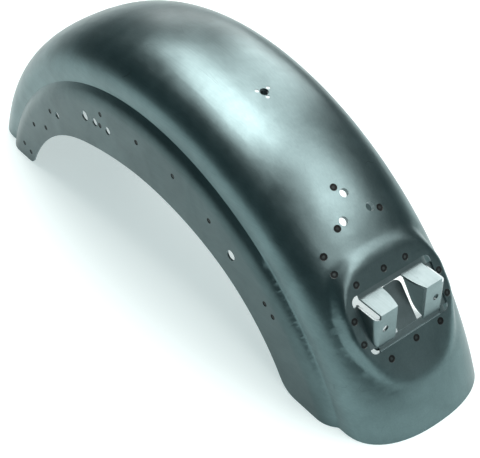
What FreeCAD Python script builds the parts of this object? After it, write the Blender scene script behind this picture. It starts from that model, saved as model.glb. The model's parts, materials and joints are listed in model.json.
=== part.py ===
import FreeCAD
import Part
import math
import os
from FreeCAD import Vector

# Motorcycle rear fender in bare pressed steel, real size in millimetres.
# X runs rearward, Y to the side, Z up. The fender stands on its two level-cut ends
# at Z = 0, and the wheel axle it is bent around lies below the ground plane.

# Main shape of the pressed sheet
sheet = 1.8
crown_radius = 348.0
axle_depth = 112.0
skirt_half_width = 83.0
wall_half_width = 74.5
crown_drop = 43.0
crown_roundness = 2.3
crown_depth = 49.0
step_height = 18.0
crease_radius = crown_radius - crown_depth
step_foot_radius = crease_radius - step_height
sweep_end_deg = 76.0

# Depth of the side skirts below the foot of the step, at angles from the top
skirt_depth = [(-76.0, 28.5), (-64.0, 28.7), (-52.0, 30.5), (-42.0, 33.4), (-32.0, 38.8),
               (-22.0, 46.1), (-11.0, 51.0), (0.0, 52.2), (11.0, 51.4), (22.0, 48.4),
               (33.0, 44.2), (44.0, 41.3), (55.0, 39.8), (66.0, 39.6), (76.0, 39.6)]
skirt_edge = [(angle, step_foot_radius - depth) for angle, depth in skirt_depth]
front_tip_radius = 12.0
tail_tip_radius = 24.0

# Flat pad pressed around the tail light opening
pad_angle_deg = 54.5
pad_sink = 4.2
pad_distance = crown_radius - pad_sink
pad_half_width = 62.0
pad_top = -18.0
pad_top_corner = 34.0
pad_bottom = 78.0
pad_bottom_corner = 47.0
pad_blend = 8.0
pad_top_fade = 22.0
pad_bottom_fade = 20.0
pad_strike = 0.05
pad_flat_margin = 10.4
opening_start = 44.2
opening_length = 54.6
opening_half_width = 46.0
opening_corner = 6.0

# Tail light bracket, one folded plate behind the opening
plate = 2.0
plate_top = -8.0
plate_bottom = 65.0
plate_half_width = 53.0
step_top_drop = 4.53
step_reach = 28.07
step_root = 12.0
step_inner = 17.5
step_outer = 36.0
step_wall = 41.0
step_slot = 4.6
step_low = 48.0
window_top = 5.5
tongue_half_width = 11.0
tongue_gap = 1.2
tongue_set_in_deg = 3.2
tongue_corner = 7.0
corner_window = 49.0
corner_window_drop = 9.0
corner_window_low = 57.0
lamp_bolt = 6.5
lamp_bolt_spacing = 60.0
lamp_bolt_drop = 18.6

# Welded plates inside the fender
contact_gap = 0.02
strap_thickness = 3.0
strap_clearance = 1.0
strap_width = 28.0
strap_outer_radius = step_foot_radius - strap_clearance
strap_inner_radius = strap_outer_radius - strap_width
strap_front_deg = -8.0
strap_rear_deg = 27.5
rear_plate_start_deg = 37.0
rear_plate_end_deg = 49.5
front_plate_thickness = 2.5
front_plate_width = 24.5
front_plate_inner_radius = strap_outer_radius - front_plate_width
front_plate_clearance = 2.5
front_plate_start_deg = -36.9
front_plate_end_deg = -65.0
crown_plate_thickness = 3.0
crown_plate_start_deg = 30.2
crown_plate_end_deg = 40.2
crown_plate_half_width = 32.0
crown_plate_corner = 9.0
crown_plate_rise = 48.0

# Mounting holes: angle from the top, depth below the foot of the step, diameter.
# On the crown the second value is the distance to the side.
skirt_hole_places = [(-35.0, 14.5, 7.5), (-20.8, 13.6, 11.0), (-16.9, 17.2, 9.0),
                     (-11.9, 20.8, 9.0), (31.4, 16.3, 11.0)]
skirt_holes = [(angle, step_foot_radius - depth, width)
               for angle, depth, width in skirt_hole_places]
crown_holes = [(33.7, 0.0, 8.5), (37.2, -15.3, 8.5), (37.2, 15.3, 8.5)]
seat_hole_deg = 14.2
seat_hole = 8.5

# Seat nut welded under the crown
nut_flange = 26.0
nut_flange_thickness = 2.5
nut_barrel = 13.5
nut_length = 13.0
nut_weld_mark = 4.0
nut_weld_radius = 6.5
nut_weld_start_deg = -10.0

# Spot weld marks: angle and depth below the foot of the step on the skirts,
# angle and distance to the side on the crown
skirt_weld_places = [(-61.1, 7.0), (-60.8, 20.5), (-50.0, 8.0), (-44.4, 20.5), (-37.8, 8.0),
                     (-14.8, 18.5), (-13.5, 5.0), (-0.7, 11.0), (11.5, 11.0), (23.5, 12.5),
                     (42.6, 7.5), (45.4, 5.5)]
skirt_welds = [(angle, step_foot_radius - depth) for angle, depth in skirt_weld_places]
crown_welds = [(32.3, -6.0), (37.7, -24.0), (38.0, 24.0), (40.2, -46.5), (43.1, -46.5)]
pad_welds = [(-8.0, -35.0), (-8.5, -3.0), (-7.5, 22.0), (19.0, -50.2), (41.0, -49.8),
             (19.0, 50.2), (41.0, 49.8), (65.0, -29.5), (61.0, 2.0), (60.0, 32.0)]
weld_mark = 7.0
skirt_weld_mark = 5.6
weld_depth = 0.5

deg = math.pi / 180.0
pad_angle = pad_angle_deg * deg
pad_normal = Vector(math.sin(pad_angle), 0, math.cos(pad_angle))
pad_down = Vector(math.cos(pad_angle), 0, -math.sin(pad_angle))
pad_origin = pad_normal * pad_distance - pad_down * opening_start - Vector(0, 0, axle_depth)
side = Vector(0, 1, 0)
step_x = pad_origin.x + step_reach
step_z = pad_origin.z - step_top_drop


def polar(angle_deg, radius, across):
    """Point at an angle from the top around the axle, seen in the ground frame."""
    a = angle_deg * deg
    return Vector(radius * math.sin(a), across, radius * math.cos(a) - axle_depth)


def on_pad(across, down, out=0.0):
    """Point on the plane of the flat pad, measured from the top edge of the opening."""
    return pad_origin + side * across + pad_down * down + pad_normal * out


def smooth(value):
    t = min(1.0, max(0.0, value))
    return t * t * t * (t * (6.0 * t - 15.0) + 10.0)


def crown_height(across):
    """Drop of the crown below its ridge at a sideways distance."""
    u = min(1.0, abs(across) / wall_half_width)
    return crown_drop * (1.0 - (1.0 - u ** crown_roundness) ** (1.0 / crown_roundness))


def pad_weight(across, down):
    """How much of the flat pad is pressed in at a place: 1 on the pad, 0 outside it."""
    middle = 0.5 * (pad_top + pad_bottom)
    upper = down < middle
    corner = pad_top_corner if upper else pad_bottom_corner
    qx = abs(across) - (pad_half_width - corner)
    qy = abs(down - middle) - (0.5 * (pad_bottom - pad_top) - corner)
    run = math.hypot(max(qx, 0.0), max(qy, 0.0))
    edge = min(max(qx, qy), 0.0) + run - corner
    end = (max(qy, 0.0) / run) ** 4 if run > 0 else 0.0
    fade = end * (pad_top_fade if upper else pad_bottom_fade)
    t = min(1.0, max(0.0, (fade - edge) / (pad_blend + fade)))
    bowl = t * (2.0 - t)
    return bowl + end * (smooth(t) - bowl) if upper else bowl


def skin_point(angle_deg, across, radius):
    """Outer skin with the pad pressed into the plain swept section."""
    a = angle_deg * deg - pad_angle
    if abs(a) > 0.6:
        return polar(angle_deg, radius, across)
    flat = pad_distance / math.cos(a)
    down = pad_distance * math.tan(a) + opening_start
    w = pad_weight(across, down)
    return polar(angle_deg, radius + w * (flat - radius), across)


def half_section():
    """Section from the ridge to the foot of the side step as (across, radius) pairs."""
    line = []
    n = 400
    for i in range(n + 1):
        a = 0.5 * math.pi * i / n
        y = wall_half_width * math.sin(a) ** (2.0 / crown_roundness)
        line.append((y, crown_radius - crown_height(y)))
    length = [0.0]
    for p, q in zip(line[:-1], line[1:]):
        length.append(length[-1] + math.hypot(q[0] - p[0], q[1] - p[1]))
    stops = [4.2 * i for i in range(12)]
    while stops[-1] < 76.0:
        stops.append(stops[-1] + 1.9)
    while stops[-1] < length[-1] - 5.0:
        stops.append(stops[-1] + 3.6)
    points = []
    k = 0
    for s in stops:
        while length[k + 1] < s:
            k = k + 1
        t = (s - length[k]) / (length[k + 1] - length[k])
        points.append((line[k][0] + t * (line[k + 1][0] - line[k][0]),
                       line[k][1] + t * (line[k + 1][1] - line[k][1])))
    wall_top = crown_radius - crown_drop
    points.append((wall_half_width, wall_top))
    points.append((wall_half_width, crease_radius + 2.6))
    points.append((wall_half_width, crease_radius))
    rise = skirt_half_width - wall_half_width
    run = crease_radius - step_foot_radius
    slope = 2.0 * math.atan(rise / run)
    bend = run / math.sin(slope)
    for f in (0.87, 0.72, 0.54, 0.36, 0.2, 0.08, 0.0):
        points.append((skirt_half_width - bend * (1.0 - math.cos(f * slope)),
                       step_foot_radius + bend * math.sin(f * slope)))
    return points


def sweep_angles():
    """Stations around the axle, close together over the pad."""
    angles = [-sweep_end_deg]
    while angles[-1] < 38.0:
        angles.append(angles[-1] + 2.4)
    while angles[-1] < 41.0:
        angles.append(angles[-1] + 1.1)
    while angles[-1] < 63.0:
        angles.append(angles[-1] + 0.55)
    while angles[-1] < sweep_end_deg - 2.0:
        angles.append(angles[-1] + 2.0)
    angles.append(sweep_end_deg)
    return angles


half = half_section()
section = [(-y, r) for y, r in reversed(half[1:])] + half
stations = sweep_angles()
outer_net = [[skin_point(a, y, r) for y, r in section] for a in stations]


def section_turn(k):
    """Share by which a mitred offset grows at a bend of the section."""
    if k == 0 or k == len(section) - 1:
        return 1.0
    a = Vector(section[k][0] - section[k - 1][0], section[k][1] - section[k - 1][1], 0)
    b = Vector(section[k + 1][0] - section[k][0], section[k + 1][1] - section[k][1], 0)
    return 1.0 / math.cos(0.5 * a.getAngle(b))


def inward_net(depth):
    """The outer net moved inward by a depth square to the sheet."""
    net = []
    last = len(stations) - 1
    rim = len(section) - 1
    for i in range(len(stations)):
        row = []
        for k in range(len(section)):
            p = outer_net[i][k]
            if k == 0:
                row.append(p + side * depth)
                continue
            if k == rim:
                row.append(p - side * depth)
                continue
            along = outer_net[min(i + 1, last)][k] - outer_net[max(i - 1, 0)][k]
            across = outer_net[i][k + 1] - outer_net[i][k - 1]
            normal = along.cross(across)
            normal.normalize()
            if normal.dot(p + Vector(0, 0, axle_depth)) > 0:
                normal = normal * -1.0
            row.append(p + normal * depth * section_turn(k))
        net.append(row)
    return net


def net_surface(net):
    """Smooth cubic surface drawn by a net of points."""
    rows = len(net)
    columns = len(net[0])
    row_mults = [4] + [1] * (rows - 4) + [4]
    column_mults = [4] + [1] * (columns - 4) + [4]
    surface = Part.BSplineSurface()
    surface.buildFromPolesMultsKnots(net, row_mults, column_mults,
                                     [float(i) for i in range(len(row_mults))],
                                     [float(i) for i in range(len(column_mults))],
                                     False, False, 3, 3)
    return surface


def net_edge(points):
    """Edge of a net surface along one row or column of its points."""
    mults = [4] + [1] * (len(points) - 4) + [4]
    curve = Part.BSplineCurve()
    curve.buildFromPolesMultsKnots(points, mults, [float(i) for i in range(len(mults))], False, 3)
    return curve.toShape()


def closed_solid(faces):
    shell = Part.Shell(faces)
    shell.sewShape()
    solid = Part.Solid(shell)
    if solid.Volume < 0:
        solid.reverse()
    return solid


def layer(top_net, low_net):
    """Curved plate between two nets."""
    faces = [net_surface(top_net).toShape(), net_surface(low_net).toShape()]
    for k in (0, -1):
        faces.append(Part.makeRuledSurface(net_edge([row[k] for row in top_net]),
                                           net_edge([row[k] for row in low_net])))
        faces.append(Part.makeRuledSurface(net_edge(top_net[k]), net_edge(low_net[k])))
    return closed_solid(faces)


def block(x0, x1, y0, y1, z0, z1):
    return Part.makeBox(x1 - x0, y1 - y0, z1 - z0, Vector(x0, y0, z0))


def rod(center, direction, diameter, before, after):
    """Round bar along a direction, reaching before and after its centre point."""
    d = Vector(direction)
    d.normalize()
    return Part.makeCylinder(0.5 * diameter, before + after, center - d * before, d)


def spline_edge(points):
    curve = Part.BSplineCurve()
    curve.interpolate(points)
    return curve.toShape()


def tip_edges(solid, x_side):
    """Edges across the sheet where the skirt edge meets the ground, on one end."""
    found = []
    foot_x = math.sqrt(step_foot_radius ** 2 - axle_depth ** 2)
    for e in solid.Edges:
        p, q = e.Vertexes[0].Point, e.Vertexes[-1].Point
        if abs(p.z) < 0.01 and abs(q.z) < 0.01 and abs(p.y - q.y) > 0.5 * sheet:
            if abs(p.x - q.x) < 0.01 and p.x * x_side > 0 and abs(p.x) < foot_x - 10.0:
                found.append(e)
    return found


def skirt(sign):
    """Flat side skirt between the step of the sheet and its curved lower edge."""
    column = 0 if sign < 0 else len(section) - 1
    top = net_edge([row[column] for row in outer_net])
    across = sign * skirt_half_width
    low = spline_edge([polar(a, r, across) for a, r in reversed(skirt_edge)])
    ends = [top.Vertexes[0].Point, top.Vertexes[-1].Point]
    lows = [low.Vertexes[0].Point, low.Vertexes[-1].Point]
    wire = Part.Wire([top, Part.makeLine(ends[1], lows[0]), low, Part.makeLine(lows[1], ends[0])])
    body = Part.Face(wire).extrude(side * (-sign * sheet))
    body = body.cut(block(-500, 500, -200, 200, -200, 0))
    body = body.makeFillet(front_tip_radius, tip_edges(body, -1))
    return body.makeFillet(tail_tip_radius, tip_edges(body, 1))


def skin_frame(angle_deg, across):
    """Place on the crown and the direction square to it."""
    radius = crown_radius - crown_height(across)
    p = skin_point(angle_deg, across, radius)
    a = skin_point(angle_deg + 0.3, across, radius)
    b = skin_point(angle_deg, across + 0.8, crown_radius - crown_height(across + 0.8))
    c = skin_point(angle_deg, across - 0.8, crown_radius - crown_height(across - 0.8))
    normal = (a - p).cross(b - c)
    normal.normalize()
    if normal.z < 0 and normal.x < 0:
        normal = normal * -1.0
    if normal.dot(p + Vector(0, 0, axle_depth)) < 0:
        normal = normal * -1.0
    return p, normal


def crown_tools():
    """Cutters for the holes in the crown."""
    tools = []
    for a, y, d in crown_holes:
        p, n = skin_frame(a, y)
        tools.append(rod(p, n, d, 12, 8))
    p, n = skin_frame(seat_hole_deg, 0.0)
    tools.append(rod(p, n, seat_hole, 4, 8))
    return tools


def pad_prism(y0, y1, s0, s1, low, high, radius):
    """Straight-sided block square to the pad with rounded upright edges."""
    base = [on_pad(y0, s0, low), on_pad(y1, s0, low), on_pad(y1, s1, low), on_pad(y0, s1, low)]
    body = Part.Face(Part.makePolygon(base + [base[0]])).extrude(pad_normal * (high - low))
    if radius <= 0:
        return body
    upright = []
    for e in body.Edges:
        d = e.Vertexes[-1].Point - e.Vertexes[0].Point
        if abs(abs(d.dot(pad_normal)) - (high - low)) < 0.01:
            upright.append(e)
    return body.makeFillet(radius, upright)


def make_shell():
    arch = layer(outer_net, inward_net(sheet))
    arch = arch.cut(block(-500, 500, -200, 200, -200, 0))
    body = arch.fuse([skirt(-1), skirt(1)])
    body = body.cut(pad_strike_tool())
    tools = crown_tools() + nut_weld_tools()
    tools.append(pad_prism(-opening_half_width, opening_half_width, 0.0, opening_length,
                           -20, 20, opening_corner))
    for a, r, d in skirt_holes:
        for sign in (-1, 1):
            tools.append(rod(polar(a, r, sign * skirt_half_width), side * sign, d, 6, 6))
    for a, r in skirt_welds:
        for sign in (-1, 1):
            tools.append(rod(polar(a, r, sign * skirt_half_width), side * sign,
                             skirt_weld_mark, weld_depth, 4))
    for a, y in crown_welds:
        p, n = skin_frame(a, y)
        tools.append(rod(p, n, weld_mark, weld_depth, 4))
    for s, y in pad_welds:
        tools.append(rod(on_pad(y, s), pad_normal, weld_mark, weld_depth, 4))
    return body.cut(tools)


def nut_weld_tools():
    """Cutters for the small marks that the three feet of the seat nut leave in the crown."""
    p, n = skin_frame(seat_hole_deg, 0.0)
    along = side.cross(n)
    tools = []
    for k in range(3):
        a = (nut_weld_start_deg + 120.0 * k) * deg
        spot = p + (along * math.cos(a) + side * math.sin(a)) * nut_weld_radius
        tools.append(rod(spot, n, nut_weld_mark, weld_depth, 4))
    return tools


def pad_strike_tool():
    """Cutter that leaves the pad dead flat around the opening."""
    return pad_field(0.0, -pad_strike, 6.0)


def wedge(sign, shrink):
    """Solid step that stands out of the bracket plate: level top, upright face."""
    x1 = step_x - shrink
    z1 = step_z - shrink
    y0 = sign * 5.0
    y1 = sign * (step_wall - shrink)
    base = on_pad(0.0, 0.0, -sheet - plate - 6.0)
    top_back = base + pad_down * ((z1 - base.z) / pad_down.z)
    foot = base + pad_down * ((x1 - base.x) / pad_down.x)
    outline = [Vector(top_back.x, y0, z1), Vector(x1, y0, z1), Vector(x1, y0, foot.z)]
    body = Part.Face(Part.makePolygon(outline + [outline[0]])).extrude(side * (y1 - y0))
    edges = []
    for e in body.Edges:
        p, q = e.Vertexes[0].Point, e.Vertexes[-1].Point
        if abs(p.x - x1) < 0.01 and abs(q.x - x1) < 0.01:
            if abs(p.y - y1) < 0.01 and abs(q.y - y1) < 0.01:
                edges.append(e)
    body = body.makeFillet(5.0 - shrink, edges)
    return body


def make_bracket():
    back = -sheet - contact_gap
    flat = pad_prism(-plate_half_width, plate_half_width, plate_top, plate_bottom,
                     back - plate, back, 12.0)
    limit = pad_field(plate_top, -20.0, 40.0)
    flat = flat.common(limit)
    outside = pad_prism(-90, 90, -60, 110, -60, back - plate, 0)
    steps = []
    cuts = []
    for sign in (-1, 1):
        lo, hi = sorted((sign * tongue_half_width, sign * (step_wall - plate)))
        cuts.append(pad_prism(lo, hi, window_top, step_low, -12, 6, 0))
        lo, hi = sorted((sign * step_outer, sign * corner_window))
        cuts.append(pad_prism(lo, hi, -4.0, corner_window_drop, -12, 6, 2.5))
        cuts.append(pad_prism(lo, hi, step_low + 1.2, corner_window_low, -12, 6, 2.5))
        skin = wedge(sign, 0.0).cut(wedge(sign, plate)).cut(outside)
        lo, hi = sorted((sign * step_outer, sign * (step_wall + 20.0)))
        skin = skin.cut(block(step_x - 80, step_x + 20, lo, hi, step_z - step_slot, step_z + 10))
        skin = skin.cut(inner_trim(sign))
        spot = Vector(step_x, sign * 0.5 * lamp_bolt_spacing, step_z - lamp_bolt_drop)
        skin = skin.cut(rod(spot, Vector(1, 0, 0), lamp_bolt, 10, 10))
        steps.append(skin)
    cuts.append(pad_prism(-tongue_half_width, tongue_half_width, window_top,
                          step_low, -12, 6, 0))
    frame = flat.cut(cuts)
    return frame.fuse(steps + [tongue(back)]).removeSplitter()


def pad_field(top, low, high):
    """Block over the flat part of the pad, with the pad's own round corners."""
    hw = pad_half_width - pad_flat_margin
    bottom = pad_bottom - pad_flat_margin
    r = pad_bottom_corner - pad_flat_margin
    q = pad_top_corner - pad_flat_margin
    d = r * (1.0 - math.sqrt(0.5))
    e = q * (1.0 - math.sqrt(0.5))
    spots = [(q - hw, top), (hw - q, top), (hw - e, top + e), (hw, top + q), (hw, bottom - r),
             (hw - d, bottom - d), (hw - r, bottom), (r - hw, bottom), (d - hw, bottom - d),
             (-hw, bottom - r), (-hw, top + q), (e - hw, top + e)]
    a = [on_pad(y, s, low) for y, s in spots]
    edges = [Part.makeLine(a[0], a[1]), Part.Arc(a[1], a[2], a[3]).toShape(),
             Part.makeLine(a[3], a[4]), Part.Arc(a[4], a[5], a[6]).toShape(),
             Part.makeLine(a[6], a[7]), Part.Arc(a[7], a[8], a[9]).toShape(),
             Part.makeLine(a[9], a[10]), Part.Arc(a[10], a[11], a[0]).toShape()]
    return Part.Face(Part.Wire(edges)).extrude(pad_normal * (high - low))


def inner_trim(sign):
    """Cutter that gives the inner side of a step its hollow curved edge."""
    z0, z1 = step_z - 60.0, step_z + 20.0
    root_x = on_pad(0.0, window_top).x
    a = Vector(step_x + 1.0, sign * step_inner, z0)
    m = Vector(0.5 * (step_x + root_x) - 1.0, sign * (step_root + 1.2), z0)
    b = Vector(root_x - 0.5, sign * step_root, z0)
    c = Vector(root_x - 25.0, sign * step_root, z0)
    curve = Part.Arc(a, m, b).toShape()
    near = sign * -2.0
    lines = [curve, Part.makeLine(b, c), Part.makeLine(c, Vector(c.x, near, z0)),
             Part.makeLine(Vector(c.x, near, z0), Vector(step_x + 8.0, near, z0)),
             Part.makeLine(Vector(step_x + 8.0, near, z0),
                           Vector(step_x + 8.0, sign * step_inner, z0)),
             Part.makeLine(Vector(step_x + 8.0, sign * step_inner, z0), a)]
    return Part.Face(Part.Wire(lines)).extrude(Vector(0, 0, z1 - z0))


def tongue(back):
    """Flat tongue between the steps, free at its top and bent slightly inward."""
    top = window_top + tongue_gap
    body = pad_prism(-tongue_half_width, tongue_half_width, top, step_low + 6.0,
                     back - plate, back, 0)
    upper = []
    for e in body.Edges:
        p, q = e.Vertexes[0].Point, e.Vertexes[-1].Point
        d = q - p
        low = (p - pad_origin).dot(pad_down)
        if abs(abs(d.dot(pad_normal)) - plate) < 0.01 and low < top + 0.1:
            upper.append(e)
    body = body.makeFillet(tongue_corner, upper)
    body.rotate(on_pad(0.0, step_low + 6.0, back), side, -tongue_set_in_deg)
    return body


def sector(sign, start_deg, end_deg, r0, r1, thickness, corner):
    """Flat curved strap lying against the inner face of a skirt."""
    y = sign * (skirt_half_width - sheet - contact_gap)
    mid = 0.5 * (start_deg + end_deg)
    a = [polar(start_deg, r1, y), polar(mid, r1, y), polar(end_deg, r1, y)]
    b = [polar(end_deg, r0, y), polar(mid, r0, y), polar(start_deg, r0, y)]
    edges = [Part.Arc(a[0], a[1], a[2]).toShape(), Part.makeLine(a[2], b[0]),
             Part.Arc(b[0], b[1], b[2]).toShape(), Part.makeLine(b[2], a[0])]
    body = Part.Face(Part.Wire(edges)).extrude(side * (-sign * thickness))
    upright = []
    for e in body.Edges:
        p, q = e.Vertexes[0].Point, e.Vertexes[-1].Point
        if abs(abs(p.y - q.y) - thickness) < 0.01:
            upright.append(e)
    return body.makeFillet(corner, upright)


def make_strap(sign):
    return sector(sign, strap_front_deg, strap_rear_deg, strap_inner_radius,
                  strap_outer_radius, strap_thickness, 8.0)


def make_rear_plate(sign):
    return sector(sign, rear_plate_start_deg, rear_plate_end_deg, strap_inner_radius,
                  strap_outer_radius, strap_thickness, 6.0)


def make_front_plate(sign):
    body = sector(sign, front_plate_end_deg, front_plate_start_deg, front_plate_inner_radius,
                  strap_outer_radius, front_plate_thickness, 6.0)
    return body.cut(block(-2 * crown_radius, 2 * crown_radius, -crown_radius, crown_radius,
                          -crown_radius, front_plate_clearance))


def make_crown_plate():
    low = sheet + contact_gap
    curved = layer(inward_net(low), inward_net(low + crown_plate_thickness))
    hw = crown_plate_half_width
    p0 = polar(crown_plate_start_deg, crown_radius - crown_plate_rise, 0.0)
    p1 = polar(crown_plate_end_deg, crown_radius - crown_plate_rise, 0.0)
    out = p0 + p1 + Vector(0, 0, 2.0 * axle_depth)
    out.normalize()
    along = p1 - p0
    along.normalize()
    half_length = 0.5 * crown_radius * (crown_plate_end_deg - crown_plate_start_deg) * deg
    center = (p0 + p1) * 0.5
    base = [center - along * half_length - side * hw, center + along * half_length - side * hw,
            center + along * half_length + side * hw, center - along * half_length + side * hw]
    room = Part.Face(Part.makePolygon(base + [base[0]])).extrude(out * 2.0 * crown_plate_rise)
    upright = []
    for e in room.Edges:
        d = e.Vertexes[-1].Point - e.Vertexes[0].Point
        if abs(abs(d.dot(out)) - 2.0 * crown_plate_rise) < 0.01:
            upright.append(e)
    body = curved.common(room.makeFillet(crown_plate_corner, upright))
    tools = []
    for a, y, d in crown_holes:
        p, n = skin_frame(a, y)
        tools.append(rod(p, n, d, 12, 8))
    return body.cut(tools)


def make_seat_nut():
    p, n = skin_frame(seat_hole_deg, 0.0)
    flange = rod(p, n, nut_flange, sheet + 6.0, 2.0)
    barrel = rod(p, n, nut_barrel, sheet + nut_length, 2.0)
    low = inward_net(sheet + contact_gap)
    under = layer(low, inward_net(sheet + contact_gap + nut_flange_thickness))
    deep = layer(low, inward_net(sheet + nut_length + 6.0))
    body = under.common(flange).fuse(deep.common(barrel))
    return body.cut(rod(p, n, 6.8, 40, 8))


def save(shape, name):
    shape.exportStep(os.path.join("parts", name + ".step"))
    print(name, shape.isValid(), len(shape.Solids), round(shape.Volume / 1000.0, 2), "cm3")


os.makedirs("parts", exist_ok=True)
save(make_shell(), "fender_shell")
save(make_bracket(), "tail_light_bracket")
save(make_strap(-1), "left_skirt_strap")
save(make_strap(1), "right_skirt_strap")
save(make_front_plate(-1), "left_front_plate")
save(make_front_plate(1), "right_front_plate")
save(make_rear_plate(-1), "left_rear_plate")
save(make_rear_plate(1), "right_rear_plate")
save(make_crown_plate(), "crown_plate")
save(make_seat_nut(), "seat_nut")
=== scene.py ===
"""Looks of a bare pressed-steel motorcycle rear fender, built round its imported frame.

Lengths are in metres. X runs to the lamp end, Y to the right skirt, Z up. The fender
stands on the ground at Z = 0 and is bent round a wheel axle that lies below it.
"""

import json
import logging
import math
from dataclasses import dataclass
from enum import Enum

import bmesh
import bpy
from mathutils import Matrix, Vector

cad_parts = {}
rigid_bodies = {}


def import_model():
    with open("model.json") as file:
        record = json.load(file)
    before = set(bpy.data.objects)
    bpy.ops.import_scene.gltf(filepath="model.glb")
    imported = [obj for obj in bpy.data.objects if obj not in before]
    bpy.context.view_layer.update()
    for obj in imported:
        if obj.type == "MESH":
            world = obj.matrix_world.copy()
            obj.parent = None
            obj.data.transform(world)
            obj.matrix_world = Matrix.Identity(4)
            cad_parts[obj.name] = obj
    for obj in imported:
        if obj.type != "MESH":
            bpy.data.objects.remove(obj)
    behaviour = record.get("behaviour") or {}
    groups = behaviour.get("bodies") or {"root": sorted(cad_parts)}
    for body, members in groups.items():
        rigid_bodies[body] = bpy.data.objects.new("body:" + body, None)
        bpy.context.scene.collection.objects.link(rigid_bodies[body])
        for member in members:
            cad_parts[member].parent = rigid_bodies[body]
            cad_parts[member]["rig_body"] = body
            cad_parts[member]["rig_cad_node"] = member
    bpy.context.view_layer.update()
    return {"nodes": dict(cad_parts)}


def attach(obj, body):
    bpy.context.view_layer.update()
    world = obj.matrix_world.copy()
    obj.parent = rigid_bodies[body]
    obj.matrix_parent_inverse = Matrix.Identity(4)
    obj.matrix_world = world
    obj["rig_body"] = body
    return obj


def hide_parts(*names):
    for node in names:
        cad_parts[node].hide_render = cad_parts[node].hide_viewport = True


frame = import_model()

LOG = logging.getLogger("fender")
MM = 0.001
SQUARE_MM = MM * MM

# Main sizes of the fender that its finish and its weld marks go by
AXLE_DEPTH = 112.0 * MM
CROWN_RADIUS = 348.0 * MM
CROWN_HALF_WIDTH = 73.0 * MM
SKIRT_HALF_WIDTH = 83.0 * MM
LAMP_PAD_START_X = 225.0 * MM

# How the patches of a sheet-metal mesh are told apart
SHARP_DEG = 28.0
EDGE_SHARE = 1.12
THIN_STRIP_SHARE = 0.6
FLOOR_WIDTH = 3.7 * MM
FLOOR_AREA = 40.0 * SQUARE_MM
NUT_FLOOR_AREA = 20.0 * SQUARE_MM
# Least share of a normal that counts as facing a side
FACING = 0.95


class Region(Enum):
    """What a patch of a sheet-metal piece is, told from its width."""

    SKIN = 0
    CUT_EDGE = 1
    WELD_FLOOR = 2


def linear(colour: str) -> tuple[float, float, float, float]:
    """Turns an sRGB hex colour into the linear one that the shaders take.

    Args:
        colour: Six hex digits, such as "8c9899".

    Returns:
        Red, green and blue in linear light, with an alpha of 1.
    """
    parts = [int(colour[i : i + 2], 16) / 255.0 for i in (0, 2, 4)]
    out = [p / 12.92 if p <= 0.04045 else ((p + 0.055) / 1.055) ** 2.4 for p in parts]
    return (out[0], out[1], out[2], 1.0)


def per_mm(size: float) -> float:
    """Noise scale on Object coordinates whose features are about size millimetres."""
    return 1.0 / (size * MM)


def add_node(tree: bpy.types.NodeTree, kind: str, inputs: dict | None = None,
             **settings) -> bpy.types.Node:
    """Adds one shader node with its settings, values and links.

    Args:
        tree: Node tree that receives the node.
        kind: Node type, such as "ShaderNodeMath".
        inputs: Socket name or index mapped to a value, or to an output socket to link.
        **settings: Properties of the node itself.

    Returns:
        The new node.
    """
    node = tree.nodes.new(kind)
    for name, value in settings.items():
        setattr(node, name, value)
    for key, value in (inputs or {}).items():
        if isinstance(value, bpy.types.NodeSocket):
            tree.links.new(value, node.inputs[key])
        else:
            node.inputs[key].default_value = value
    return node


def new_material(name: str) -> tuple[bpy.types.Material, bpy.types.NodeTree, bpy.types.Node]:
    """Makes an empty node material.

    Args:
        name: Name of the finish.

    Returns:
        The material, its node tree and its Principled shader.
    """
    material = bpy.data.materials.new(name)
    material.use_nodes = True
    tree = material.node_tree
    tree.nodes.clear()
    shader = add_node(tree, "ShaderNodeBsdfPrincipled")
    add_node(tree, "ShaderNodeOutputMaterial", {"Surface": shader.outputs["BSDF"]})
    return material, tree, shader


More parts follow.
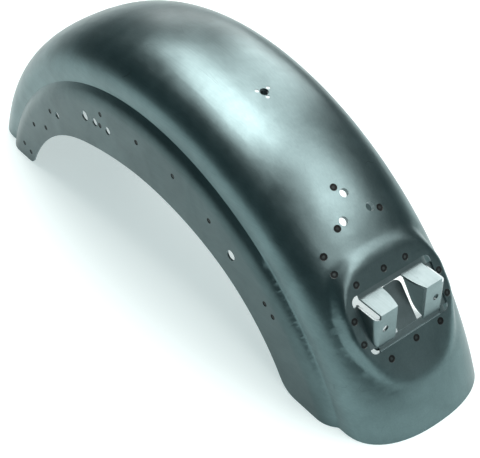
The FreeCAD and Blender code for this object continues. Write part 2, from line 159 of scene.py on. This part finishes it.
@dataclass(frozen=True)
class SheetSteel:
    """Bare low-carbon steel sheet, cold rolled, then pressed or folded and wiped with oil.

    The eye gets a cool grey metal with broad soft highlights. Their edges are cloudy from
    the oil film and the stretch of the press, and faint drawn lines and scratches follow
    the sweep of the crown.
    """

    name: str
    light: str = "6a7f81"
    dark: str = "5c6f71"
    scratch: str = "475456"
    roughness: float = 0.34
    smoother: float = 0.025
    rougher: float = 0.035
    # Painted shade: the factor on the colour of the skirts, which darkens them
    skirt_shade: float = 0.56
    cloud_size: float = 46.0
    line_spacing: float = 1.6
    line_height: float = 0.02 * MM
    wave_length: float = 34.0
    wave_height: float = 0.15 * MM
    ripple: float = 1.0

    def make(self) -> bpy.types.Material:
        """Builds the material."""
        material, tree, shader = new_material(self.name)
        place = add_node(tree, "ShaderNodeTexCoord").outputs["Object"]
        sweep = self.sweep_coordinates(tree, place)
        # Clouds of oil film and mill finish, 46 mm across on the crown, with finer edges.
        clouds = add_node(tree, "ShaderNodeTexNoise", {
            "Vector": place, "Scale": per_mm(self.cloud_size), "Detail": 6.0,
            "Roughness": 0.62, "Distortion": 0.6})
        # Drawn lines along the sweep: 1.6 mm apart on the crown, coarser than the real
        # 0.2 mm so that they show.
        stretched = add_node(tree, "ShaderNodeMapping", {
            "Vector": sweep, "Scale": (0.02, 1.0, 1.0)})
        lines = add_node(tree, "ShaderNodeTexNoise", {
            "Vector": stretched.outputs["Vector"], "Scale": per_mm(self.line_spacing),
            "Detail": 3.0, "Roughness": 0.7})
        scratches = self.scratch_mask(tree, sweep)
        tone = add_node(tree, "ShaderNodeMapRange", {
            "Value": clouds.outputs["Fac"], "From Min": 0.3, "From Max": 0.7})
        base = add_node(tree, "ShaderNodeMix", {
            "Factor": tone.outputs["Result"], 6: linear(self.dark), 7: linear(self.light)},
            data_type="RGBA")
        lined = add_node(tree, "ShaderNodeMapRange", {
            "Value": lines.outputs["Fac"], "From Min": 0.3, "From Max": 0.7,
            "To Min": 0.93, "To Max": 1.05})
        # Tone of the drawn lines, times the painted shade that darkens the skirts
        rubbed = add_node(tree, "ShaderNodeMath", {
            0: lined.outputs["Result"], 1: self.mill_shade(tree, place)}, operation="MULTIPLY")
        drawn = add_node(tree, "ShaderNodeVectorMath", {
            0: base.outputs[2], "Scale": rubbed.outputs[0]}, operation="SCALE")
        marked = add_node(tree, "ShaderNodeMix", {
            "Factor": scratches, 6: drawn.outputs["Vector"],
            7: linear(self.scratch)}, data_type="RGBA")
        tree.links.new(marked.outputs[2], shader.inputs["Base Color"])
        shader.inputs["Metallic"].default_value = 1.0
        smear = add_node(tree, "ShaderNodeTexNoise", {
            "Vector": place, "Scale": per_mm(self.cloud_size * 0.45), "Detail": 5.0,
            "Roughness": 0.6})
        rough = add_node(tree, "ShaderNodeMapRange", {
            "Value": smear.outputs["Fac"], "From Min": 0.3, "From Max": 0.7,
            "To Min": self.roughness - self.smoother,
            "To Max": self.roughness + self.rougher})
        tree.links.new(rough.outputs["Result"], shader.inputs["Roughness"])
        # Long waves left by the press, tens of millimetres long and a tenth high at most.
        waves = add_node(tree, "ShaderNodeTexNoise", {
            "Vector": place, "Scale": per_mm(self.wave_length), "Detail": 2.0,
            "Roughness": 0.45})
        wave_bump = add_node(tree, "ShaderNodeBump", {
            "Height": waves.outputs["Fac"], "Strength": 1.0,
            "Distance": self.wave_height * self.ripple})
        line_bump = add_node(tree, "ShaderNodeBump", {
            "Height": lines.outputs["Fac"], "Strength": 0.25,
            "Distance": self.line_height, "Normal": wave_bump.outputs["Normal"]})
        tree.links.new(line_bump.outputs["Normal"], shader.inputs["Normal"])
        return material

    def mill_shade(self, tree: bpy.types.NodeTree,
                   place: bpy.types.NodeSocket) -> bpy.types.NodeSocket:
        """Paints shade on the flat skirts, darker from the crown's edge out to the skirt, for
        the dim surroundings that these side walls reflect.

        Args:
            tree: Node tree of the material.
            place: Object coordinates.

        Returns:
            A factor on the colour: 1 on the crown, lower on the skirts.
        """
        apart = add_node(tree, "ShaderNodeSeparateXYZ", {0: place})
        off = add_node(tree, "ShaderNodeMath", {0: apart.outputs["Y"]}, operation="ABSOLUTE")
        return add_node(tree, "ShaderNodeMapRange", {
            "Value": off.outputs[0], "From Min": CROWN_HALF_WIDTH,
            "From Max": SKIRT_HALF_WIDTH, "To Min": 1.0,
            "To Max": self.skirt_shade}).outputs["Result"]

    @staticmethod
    def sweep_coordinates(tree: bpy.types.NodeTree,
                          place: bpy.types.NodeSocket) -> bpy.types.NodeSocket:
        """Lays the crown out flat: length along the sweep, then distance across.

        Args:
            tree: Node tree of the material.
            place: Object coordinates.

        Returns:
            A vector of (length along the crown, side offset, distance from the axle).
        """
        apart = add_node(tree, "ShaderNodeSeparateXYZ", {0: place})
        above = add_node(tree, "ShaderNodeMath", {0: apart.outputs["Z"], 1: AXLE_DEPTH},
                         operation="ADD")
        angle = add_node(tree, "ShaderNodeMath", {0: apart.outputs["X"], 1: above.outputs[0]},
                         operation="ARCTAN2")
        length = add_node(tree, "ShaderNodeMath", {0: angle.outputs[0], 1: CROWN_RADIUS},
                          operation="MULTIPLY")
        return add_node(tree, "ShaderNodeCombineXYZ", {
            "X": length.outputs[0], "Y": apart.outputs["Y"],
            "Z": above.outputs[0]}).outputs["Vector"]

    @staticmethod
    def scratch_mask(tree: bpy.types.NodeTree,
                     sweep: bpy.types.NodeSocket) -> bpy.types.NodeSocket:
        """Finds thin curved scratches where a warped noise crosses its middle value.

        Args:
            tree: Node tree of the material.
            sweep: Flattened crown coordinates.

        Returns:
            A factor that is above 0 in a scratch only.
        """
        # Scratches 60 mm long and 0.5 mm wide, wider than the real ones so they show.
        turned = add_node(tree, "ShaderNodeMapping", {
            "Vector": sweep, "Rotation": (0.0, 0.0, 0.5), "Scale": (0.25, 1.0, 1.0)})
        field = add_node(tree, "ShaderNodeTexNoise", {
            "Vector": turned.outputs["Vector"], "Scale": per_mm(26.0), "Detail": 1.0,
            "Distortion": 0.8})
        off = add_node(tree, "ShaderNodeMath", {0: field.outputs["Fac"], 1: 0.5},
                       operation="SUBTRACT")
        near = add_node(tree, "ShaderNodeMath", {0: off.outputs[0]}, operation="ABSOLUTE")
        thin = add_node(tree, "ShaderNodeMapRange", {
            "Value": near.outputs[0], "From Min": 0.0, "From Max": 0.004,
            "To Min": 1.0, "To Max": 0.0})
        where = add_node(tree, "ShaderNodeTexNoise", {
            "Vector": sweep, "Scale": per_mm(30.0), "Detail": 1.0})
        only = add_node(tree, "ShaderNodeMapRange", {
            "Value": where.outputs["Fac"], "From Min": 0.56, "From Max": 0.66,
            "To Min": 0.0, "To Max": 0.55})
        return add_node(tree, "ShaderNodeMath", {
            0: thin.outputs["Result"], 1: only.outputs["Result"]},
            operation="MULTIPLY").outputs[0]


@dataclass(frozen=True)
class ShearedEdge:
    """Edge of the sheet as the blanking die left it.

    The eye gets a thin bright line with fine marks across the thickness.
    """

    name: str = "sheared_steel_edge"
    light: str = "a9b5b6"
    dark: str = "75868a"
    roughness: float = 0.38

    def make(self) -> bpy.types.Material:
        """Builds the material."""
        material, tree, shader = new_material(self.name)
        place = add_node(tree, "ShaderNodeTexCoord").outputs["Object"]
        # Shear marks about 0.7 mm apart.
        marks = add_node(tree, "ShaderNodeTexNoise", {
            "Vector": place, "Scale": per_mm(0.7), "Detail": 2.0, "Roughness": 0.6})
        tone = add_node(tree, "ShaderNodeMix", {
            "Factor": marks.outputs["Fac"], 6: linear(self.dark), 7: linear(self.light)},
            data_type="RGBA")
        tree.links.new(tone.outputs[2], shader.inputs["Base Color"])
        shader.inputs["Metallic"].default_value = 1.0
        shader.inputs["Roughness"].default_value = self.roughness
        bump = add_node(tree, "ShaderNodeBump", {
            "Height": marks.outputs["Fac"], "Strength": 0.4, "Distance": 0.05 * MM})
        tree.links.new(bump.outputs["Normal"], shader.inputs["Normal"])
        return material


@dataclass(frozen=True)
class BurntSpot:
    """Steel under a spot-welding tip: pressed in, scorched round its rim.

    The eye gets a dark round mark with a dull grey middle and a darker, flaky ring.
    """

    name: str = "spot_weld_scorched_steel"
    middle: str = "454f4f"
    ring: str = "1c2122"
    rim: str = "4b5554"

    def make(self) -> bpy.types.Material:
        """Builds the material."""
        material, tree, shader = new_material(self.name)
        place = add_node(tree, "ShaderNodeTexCoord").outputs["Object"]
        ring = add_node(tree, "ShaderNodeAttribute", attribute_name="ring").outputs["Fac"]
        # Scale flakes of about 1 mm break the rings up.
        flakes = add_node(tree, "ShaderNodeTexNoise", {
            "Vector": place, "Scale": per_mm(1.1), "Detail": 4.0, "Roughness": 0.65})
        wobble = add_node(tree, "ShaderNodeMapRange", {
            "Value": flakes.outputs["Fac"], "To Min": -0.22, "To Max": 0.22})
        radius = add_node(tree, "ShaderNodeMath", {0: ring, 1: wobble.outputs["Result"]},
                          operation="ADD")
        # From the middle of the mark at 0, through its scorched ring, to its rim at 1.
        ramp = add_node(tree, "ShaderNodeValToRGB", {"Fac": radius.outputs[0]})
        stops = ramp.color_ramp.elements
        stops[0].position, stops[0].color = 0.18, linear(self.middle)
        stops[1].position, stops[1].color = 0.50, linear(self.ring)
        last = stops.new(0.86)
        last.color = linear(self.ring)
        edge = stops.new(1.0)
        edge.color = linear(self.rim)
        # Some spots are scorched harder than others: one value per 30 mm of the fender.
        strength = add_node(tree, "ShaderNodeTexNoise", {
            "Vector": place, "Scale": per_mm(30.0), "Detail": 0.0})
        harder = add_node(tree, "ShaderNodeMapRange", {
            "Value": strength.outputs["Fac"], "From Min": 0.35, "From Max": 0.65,
            "To Min": 0.45, "To Max": 1.35})
        tone = add_node(tree, "ShaderNodeVectorMath", {
            0: ramp.outputs["Color"], "Scale": harder.outputs["Result"]}, operation="SCALE")
        tree.links.new(tone.outputs["Vector"], shader.inputs["Base Color"])
        shader.inputs["Metallic"].default_value = 0.75
        rough = add_node(tree, "ShaderNodeMapRange", {
            "Value": flakes.outputs["Fac"], "To Min": 0.42, "To Max": 0.72})
        tree.links.new(rough.outputs["Result"], shader.inputs["Roughness"])
        bump = add_node(tree, "ShaderNodeBump", {
            "Height": flakes.outputs["Fac"], "Strength": 0.5, "Distance": 0.12 * MM})
        tree.links.new(bump.outputs["Normal"], shader.inputs["Normal"])
        return material


@dataclass(frozen=True)
class Finishes:
    """The materials of the fender, made once and shared by its pieces."""

    pressed: bpy.types.Material
    folded: bpy.types.Material
    strap: bpy.types.Material
    turned: bpy.types.Material
    edge: bpy.types.Material
    burnt: bpy.types.Material
    warmed: bpy.types.Material

    @classmethod
    def make(cls) -> "Finishes":
        """Builds every finish."""
        return cls(
            pressed=SheetSteel("deep_drawn_bare_steel").make(),
            folded=SheetSteel("folded_pickled_steel", light="7f9092", dark="6f8082",
                              roughness=0.36, cloud_size=22.0, ripple=0.3).make(),
            strap=SheetSteel("flat_hot_rolled_steel", light="667476", dark="545f62",
                             roughness=0.42, cloud_size=18.0, ripple=0.3).make(),
            turned=SheetSteel("turned_nut_steel", light="6e7c7e", dark="5c686a",
                              roughness=0.36, cloud_size=8.0, line_spacing=0.5,
                              ripple=0.1).make(),
            edge=ShearedEdge().make(),
            burnt=BurntSpot().make(),
            warmed=BurntSpot("projection_weld_warmed_steel", middle="3a4345", ring="1d2223",
                             rim="333b3d").make(),
        )


@dataclass(frozen=True)
class Patch:
    """A smooth patch of a mesh, bounded by sharp edges."""

    faces: tuple[int, ...]
    area: float
    width: float
    centre: Vector
    normal: Vector


def deselect() -> None:
    """Leaves no object selected and returns to object mode."""
    if bpy.context.object and bpy.context.object.mode != "OBJECT":
        bpy.ops.object.mode_set(mode="OBJECT")
    bpy.ops.object.select_all(action="DESELECT")


def pick(piece: bpy.types.Object) -> None:
    """Makes a piece the only selected and active object."""
    deselect()
    piece.hide_viewport = False
    piece.select_set(True)
    bpy.context.view_layer.objects.active = piece


def merged_copy(node: str, name: str) -> bpy.types.Object:
    """Copies a node of the frame and joins its loose triangles into one closed surface.

    Args:
        node: Name of the frame's node.
        name: Name of the new piece.

    Returns:
        The copy, with its own mesh and with no parent.
    """
    piece = frame["nodes"][node].copy()
    piece.data = piece.data.copy()
    piece.name = name
    piece.data.name = name
    piece.parent = None
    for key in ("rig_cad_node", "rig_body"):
        if key in piece:
            del piece[key]
    bpy.context.scene.collection.objects.link(piece)
    pick(piece)
    if piece.data.has_custom_normals:
        bpy.ops.mesh.customdata_custom_splitnormals_clear()
    bpy.ops.object.mode_set(mode="EDIT")
    bpy.ops.mesh.select_all(action="SELECT")
    bpy.ops.mesh.remove_doubles(threshold=0.001 * MM)
    bpy.ops.object.mode_set(mode="OBJECT")
    return piece


def patches(piece: bpy.types.Object) -> list[Patch]:
    """Splits a closed mesh at its sharp edges into smooth patches.

    Args:
        piece: The piece to read.

    Returns:
        The patches, each with its faces, area, mean width, centre and normal.
    """
    mesh = bmesh.new()
    mesh.from_mesh(piece.data)
    mesh.faces.ensure_lookup_table()
    limit = math.radians(SHARP_DEG)
    seen: set[int] = set()
    found = []
    for start in mesh.faces:
        if start.index in seen:
            continue
        seen.add(start.index)
        waiting, group = [start], []
        while waiting:
            face = waiting.pop()
            group.append(face)
            for edge in face.edges:
                if len(edge.link_faces) == 2 and edge.calc_face_angle(math.pi) < limit:
                    for other in edge.link_faces:
                        if other.index not in seen:
                            seen.add(other.index)
                            waiting.append(other)
        inside = {face.index for face in group}
        area = sum(face.calc_area() for face in group)
        rim = sum(edge.calc_length() for face in group for edge in face.edges
                  if any(other.index not in inside for other in edge.link_faces))
        centre = sum((face.calc_center_median() * face.calc_area() for face in group),
                     Vector()) / max(area, 1e-12)
        normal = sum((face.normal * face.calc_area() for face in group), Vector())
        found.append(Patch(tuple(inside), area, 2.0 * area / max(rim, 1e-9), centre,
                           normal.normalized()))
    mesh.free()
    return found


def region_of(patch: Patch, gauge: float) -> Region:
    """Tells what a patch of a piece of sheet is.

    Args:
        patch: The patch.
        gauge: Thickness of the sheet.

    Returns:
        CUT_EDGE for a strip as wide as the sheet is thick, WELD_FLOOR for a small round
        floor of a weld mark, and SKIN for the rest.
    """
    if patch.width < EDGE_SHARE * gauge:
        return Region.CUT_EDGE
    if patch.width < FLOOR_WIDTH and patch.area < FLOOR_AREA:
        return Region.WELD_FLOOR
    return Region.SKIN


def dress(piece: bpy.types.Object, materials: list[bpy.types.Material]) -> None:
    """Gives a piece its materials in the order of its slots."""
    piece.data.materials.clear()
    for material in materials:
        piece.data.materials.append(material)


@dataclass(frozen=True)
class SheetPiece:
    """A piece of cut sheet steel that stands for one node of the frame."""

    node: str
    gauge: float
    smooth_deg: float = 30.0

    def build(self, skin: bpy.types.Material, edge: bpy.types.Material) -> bpy.types.Object:
        """Makes the piece from its node, with bright cut edges.

        Args:
            skin: Material of its faces.
            edge: Material of its cut edges.

        Returns:
            The finished piece.
        """
        piece = merged_copy(self.node, self.node + "_sheet")
        dress(piece, [skin, edge])
        for patch in patches(piece):
            if region_of(patch, self.gauge) is Region.CUT_EDGE:
                for index in patch.faces:
                    piece.data.polygons[index].material_index = 1
        pick(piece)
        bpy.ops.object.shade_smooth_by_angle(angle=math.radians(self.smooth_deg))
        settle(piece, self.node)
        LOG.info("%s: %d faces", piece.name, len(piece.data.polygons))
        return piece


def settle(piece: bpy.types.Object, *nodes: str) -> None:
    """Fixes a finished piece to the fender, in place of the nodes that it stands for.

    Args:
        piece: The finished piece.
        *nodes: The frame's nodes that it replaces, if any.
    """
    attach(piece, "root")
    if nodes:
        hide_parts(*nodes)


@dataclass(frozen=True)
class FenderShell:
    """The pressed crown with its stepped skirts, and the weld marks on it."""

    gauge: float = 1.8 * MM
    mark_sides: int = 28
    mark_depth: float = 0.47 * MM
    mark_lift: float = 0.01 * MM
    mark_fit: float = 0.995
    # Rings of a weld mark from its rim inward: width as a share of its radius, rise in mm
    mark_rings: tuple[tuple[float, float], ...] = (
        (0.10, -0.30), (0.14, -0.08), (0.22, 0.03), (0.28, 0.05))
    mark_smooth_deg: float = 50.0

    def build(self, finishes: Finishes) -> list[bpy.types.Object]:
        """Makes the shell and its weld marks.

        Args:
            finishes: The fender's materials.

        Returns:
            The shell, then the pieces that hold its weld marks.
        """
        shell = merged_copy("fender_shell", "pressed_shell")
        dress(shell, [finishes.pressed, finishes.edge])
        floors = []
        for patch in patches(shell):
            region = region_of(patch, self.gauge)
            if region is Region.CUT_EDGE:
                if patch.width > THIN_STRIP_SHARE * self.gauge:
                    for index in patch.faces:
                        shell.data.polygons[index].material_index = 1
            elif region is Region.WELD_FLOOR:
                floors.append(patch)
        pick(shell)
        bpy.ops.object.shade_smooth_by_angle(angle=math.radians(SHARP_DEG))
        settle(shell, "fender_shell")
        LOG.info("%s: %d faces, %d weld marks", shell.name, len(shell.data.polygons),
                 len(floors))
        groups: dict[str, list[Patch]] = {}
        for floor in floors:
            groups.setdefault(self.group_of(floor), []).append(floor)
        finish = {"seat_nut_weld_marks": finishes.warmed}
        return [shell] + [self.weld_marks(name, group, finish.get(name, finishes.burnt))
                          for name, group in sorted(groups.items())]

    @staticmethod
    def group_of(floor: Patch) -> str:
        """Names the set of weld marks that a mark belongs to, by where it lies."""
        if abs(floor.normal.y) > FACING:
            return "left_skirt_weld_marks" if floor.centre.y < 0 else "right_skirt_weld_marks"
        if floor.area < NUT_FLOOR_AREA:
            return "seat_nut_weld_marks"
        on_pad = floor.centre.x > LAMP_PAD_START_X
        return "lamp_pad_weld_marks" if on_pad else "crown_weld_marks"

    def weld_mark(self, radius: float) -> bpy.types.Object:
        """Models one mark of a welding tip, lying on the origin and facing up.

        Args:
            radius: Radius of the mark.

        Returns:
            A closed low dish whose rim rises to the skin round it.
        """
        deselect()
        bpy.ops.mesh.primitive_cylinder_add(
            vertices=self.mark_sides, radius=radius * self.mark_fit, depth=self.mark_depth,
            location=(0.0, 0.0, self.mark_depth / 2 + self.mark_lift))
        mark = bpy.context.object
        bpy.ops.object.transform_apply(location=True, rotation=True, scale=True)
        bpy.ops.object.mode_set(mode="EDIT")
        bpy.ops.mesh.select_all(action="DESELECT")
        bpy.ops.mesh.select_mode(type="FACE")
        bpy.ops.object.mode_set(mode="OBJECT")
        for face in mark.data.polygons:
            face.select = face.normal.z > FACING
        bpy.ops.object.mode_set(mode="EDIT")
        for share, rise in self.mark_rings:
            bpy.ops.mesh.inset(thickness=radius * share)
            bpy.ops.transform.translate(value=(0.0, 0.0, rise * MM))
        bpy.ops.object.mode_set(mode="OBJECT")
        ring = mark.data.attributes.new("ring", "FLOAT", "POINT")
        ring.data.foreach_set("value", [math.hypot(v.co.x, v.co.y) / radius
                                        for v in mark.data.vertices])
        return mark

    def weld_marks(self, name: str, floors: list[Patch],
                   burnt: bpy.types.Material) -> bpy.types.Object:
        """Sets a copy of a weld mark into each round floor of one group.

        Args:
            name: Name of the piece that holds the group.
            floors: The round floors pressed into the shell.
            burnt: Material of the marks.

        Returns:
            One piece with all the marks of the group.
        """
        copies = []
        for floor in floors:
            radius = math.sqrt(floor.area / math.pi)
            mark = self.weld_mark(radius)
            turn = floor.normal.to_track_quat("Z", "Y").to_matrix().to_4x4()
            mark.data.transform(Matrix.Translation(floor.centre) @ turn)
            dress(mark, [burnt])
            copies.append(mark)
        deselect()
        for mark in copies:
            mark.select_set(True)
        bpy.context.view_layer.objects.active = copies[0]
        if len(copies) > 1:
            bpy.ops.object.join()
        piece = bpy.context.object
        piece.name = name
        piece.data.name = name
        pick(piece)
        bpy.ops.object.shade_smooth_by_angle(angle=math.radians(self.mark_smooth_deg))
        settle(piece)
        LOG.info("%s: %d marks", name, len(copies))
        return piece


@dataclass(frozen=True)
class InnerPlates:
    """The straps, plates and nut welded inside the fender."""

    strap_gauge: float = 3.0 * MM
    front_gauge: float = 2.5 * MM
    crown_gauge: float = 3.0 * MM
    # The nut is turned all over and has no cut edge, so nothing on it is this thin
    nut_gauge: float = 0.1 * MM

    def build(self, finishes: Finishes) -> list[bpy.types.Object]:
        """Makes the straps, the front and rear plates, the crown plate and the seat nut."""
        gauges = {}
        for side in ("left", "right"):
            gauges[f"{side}_skirt_strap"] = self.strap_gauge
            gauges[f"{side}_front_plate"] = self.front_gauge
            gauges[f"{side}_rear_plate"] = self.strap_gauge
        gauges["crown_plate"] = self.crown_gauge
        made = [SheetPiece(node, gauge).build(finishes.strap, finishes.edge)
                for node, gauge in gauges.items()]
        nut = SheetPiece("seat_nut", self.nut_gauge)
        return made + [nut.build(finishes.turned, finishes.edge)]


@dataclass(frozen=True)
class LampBracket:
    """The folded plate that carries the tail light."""

    gauge: float = 2.0 * MM

    def build(self, finishes: Finishes) -> bpy.types.Object:
        """Makes the bracket with bright cut edges."""
        return SheetPiece("tail_light_bracket", self.gauge).build(finishes.folded,
                                                                  finishes.edge)


@dataclass(frozen=True)
class Panel:
    """One soft box of the studio, aimed at the middle of the fender."""

    name: str
    azimuth_deg: float
    elevation_deg: float
    distance: float
    width: float
    height: float
    brightness: float
    colour: str = "fff4f1"

    def hang(self, aim: Vector) -> bpy.types.Object:
        """Hangs the panel.

        Args:
            aim: Point that the panel faces.

        Returns:
            The lamp.
        """
        azimuth, elevation = math.radians(self.azimuth_deg), math.radians(self.elevation_deg)
        away = Vector((math.cos(elevation) * math.cos(azimuth),
                       math.cos(elevation) * math.sin(azimuth), math.sin(elevation)))
        data = bpy.data.lights.new(self.name, "AREA")
        data.shape = "RECTANGLE"
        data.size, data.size_y = self.width, self.height
        data.energy = self.brightness * math.pi * self.width * self.height
        data.color = linear(self.colour)[:3]
        lamp = bpy.data.objects.new(self.name, data)
        bpy.context.scene.collection.objects.link(lamp)
        lamp.location = aim + away * self.distance
        lamp.rotation_euler = away.to_track_quat("Z", "Y").to_euler()
        return lamp


# Name, azimuth, elevation, distance, width, height and brightness. The soft boxes draw the
# highlights down the crown and on the steps of the bracket, and the fills close the dark
# gaps between them.
PANELS = (
    Panel("overhead_soft_box", 165.0, 79.0, 1.6, 0.95, 0.95, 7.6),
    Panel("side_soft_box", 120.0, 36.0, 1.7, 0.75, 1.1, 4.4),
    Panel("front_soft_box", 160.0, 52.0, 1.7, 0.6, 0.8, 5.2),
    Panel("tail_soft_box", 40.0, 54.0, 1.8, 0.95, 0.6, 6.4),
    Panel("crown_fill", 86.0, 68.0, 1.7, 0.95, 0.7, 3.0),
    Panel("left_fill", -5.0, 44.0, 1.8, 0.9, 0.7, 2.0),
    Panel("low_side_fill", 142.0, 14.0, 2.0, 0.9, 0.5, 2.4),
    Panel("pad_fill", 22.0, 15.0, 1.9, 0.8, 0.5, 0.55),
)


@dataclass(frozen=True)
class Studio:
    """Pale floor, dim room and soft boxes."""

    aim: tuple[float, float, float] = (0.05, 0.0, 0.12)
    floor_size: float = 12.0
    floor_drop: float = 0.2 * MM
    floor_colour: str = "bcc7c7"
    fibre_colour: str = "bfcaca"
    fibre_size: float = 2.0
    floor_roughness: float = 0.95
    floor_glow: float = 1.0
    room_colour: str = "43585b"
    room_level: float = 1.0

    def build(self) -> None:
        """Sets up the room round the fender."""
        self.room()
        self.floor()
        for panel in PANELS:
            panel.hang(Vector(self.aim))
        LOG.info("studio: floor, room and %d soft boxes", len(PANELS))

    def room(self) -> None:
        """Lights the scene dimly from all round."""
        world = bpy.data.worlds.new("dim_room")
        bpy.context.scene.world = world
        world.use_nodes = True
        tree = world.node_tree
        tree.nodes.clear()
        glow = add_node(tree, "ShaderNodeBackground", {
            "Color": linear(self.room_colour), "Strength": self.room_level})
        add_node(tree, "ShaderNodeOutputWorld", {"Surface": glow.outputs[0]})

    def floor(self) -> bpy.types.Object:
        """Lays the floor, which looks white where nothing shades it.

        Returns:
            The floor.
        """
        deselect()
        bpy.ops.mesh.primitive_plane_add(size=self.floor_size,
                                         location=(0.0, 0.0, -self.floor_drop))
        floor = bpy.context.object
        floor.name = "studio_floor"
        material, tree, shader = new_material("matt_white_paper")
        # Paper fibre of about 2 mm, far too faint to read as a pattern.
        place = add_node(tree, "ShaderNodeTexCoord").outputs["Object"]
        fibre = add_node(tree, "ShaderNodeTexNoise", {
            "Vector": place, "Scale": per_mm(self.fibre_size)})
        tone = add_node(tree, "ShaderNodeMix", {
            "Factor": fibre.outputs["Fac"], 6: linear(self.floor_colour),
            7: linear(self.fibre_colour)}, data_type="RGBA")
        tree.links.new(tone.outputs[2], shader.inputs["Base Color"])
        shader.inputs["Roughness"].default_value = self.floor_roughness
        path = add_node(tree, "ShaderNodeLightPath")
        seen = add_node(tree, "ShaderNodeMath", {
            0: path.outputs["Is Camera Ray"], 1: path.outputs["Is Glossy Ray"]},
            operation="ADD")
        through = add_node(tree, "ShaderNodeMath", {
            0: seen.outputs[0], 1: path.outputs["Is Transmission Ray"]}, operation="ADD",
            use_clamp=True)
        glow = add_node(tree, "ShaderNodeMath", {0: through.outputs[0], 1: self.floor_glow},
                        operation="MULTIPLY")
        shader.inputs["Emission Color"].default_value = linear(self.floor_colour)
        tree.links.new(glow.outputs[0], shader.inputs["Emission Strength"])
        floor.data.materials.append(material)
        return floor


@dataclass(frozen=True)
class PhotoCamera:
    """The camera, at the place and turn from which the fender was photographed."""

    azimuth_deg: float = 52.448
    elevation_deg: float = 41.162
    roll_deg: float = -1.543
    distance: float = 1.24032
    target_x: float = 0.04466
    target_z: float = 0.03612
    lens: float = 92.287
    sensor_width: float = 36.0
    near: float = 0.05
    far: float = 50.0

    def build(self) -> bpy.types.Object:
        """Makes the camera and sets it as the scene's own.

        Returns:
            The camera.
        """
        azimuth, elevation = math.radians(self.azimuth_deg), math.radians(self.elevation_deg)
        back = Vector((math.sin(azimuth) * math.cos(elevation),
                       -math.cos(azimuth) * math.cos(elevation), math.sin(elevation)))
        level = Vector((math.cos(azimuth), math.sin(azimuth), 0.0))
        upward = back.cross(level)
        roll = math.radians(self.roll_deg)
        right = level * math.cos(roll) + upward * math.sin(roll)
        up = upward * math.cos(roll) - level * math.sin(roll)
        data = bpy.data.cameras.new("photo_camera")
        data.sensor_width = self.sensor_width
        data.lens = self.lens
        data.clip_start, data.clip_end = self.near, self.far
        camera = bpy.data.objects.new("photo_camera", data)
        bpy.context.scene.collection.objects.link(camera)
        place = Vector((self.target_x, 0.0, self.target_z)) + back * self.distance
        camera.matrix_world = Matrix.Translation(place) @ Matrix(
            (right, up, back)).transposed().to_4x4()
        bpy.context.scene.camera = camera
        return camera


def main() -> None:
    """Builds the fender, the studio and the camera."""
    logging.basicConfig(level=logging.INFO, format="%(name)s: %(message)s")
    bpy.context.scene.view_settings.view_transform = "Standard"
    finishes = Finishes.make()
    FenderShell().build(finishes)
    LampBracket().build(finishes)
    InnerPlates().build(finishes)
    Studio().build()
    PhotoCamera().build()
    deselect()


if __name__ == "__main__":
    main()
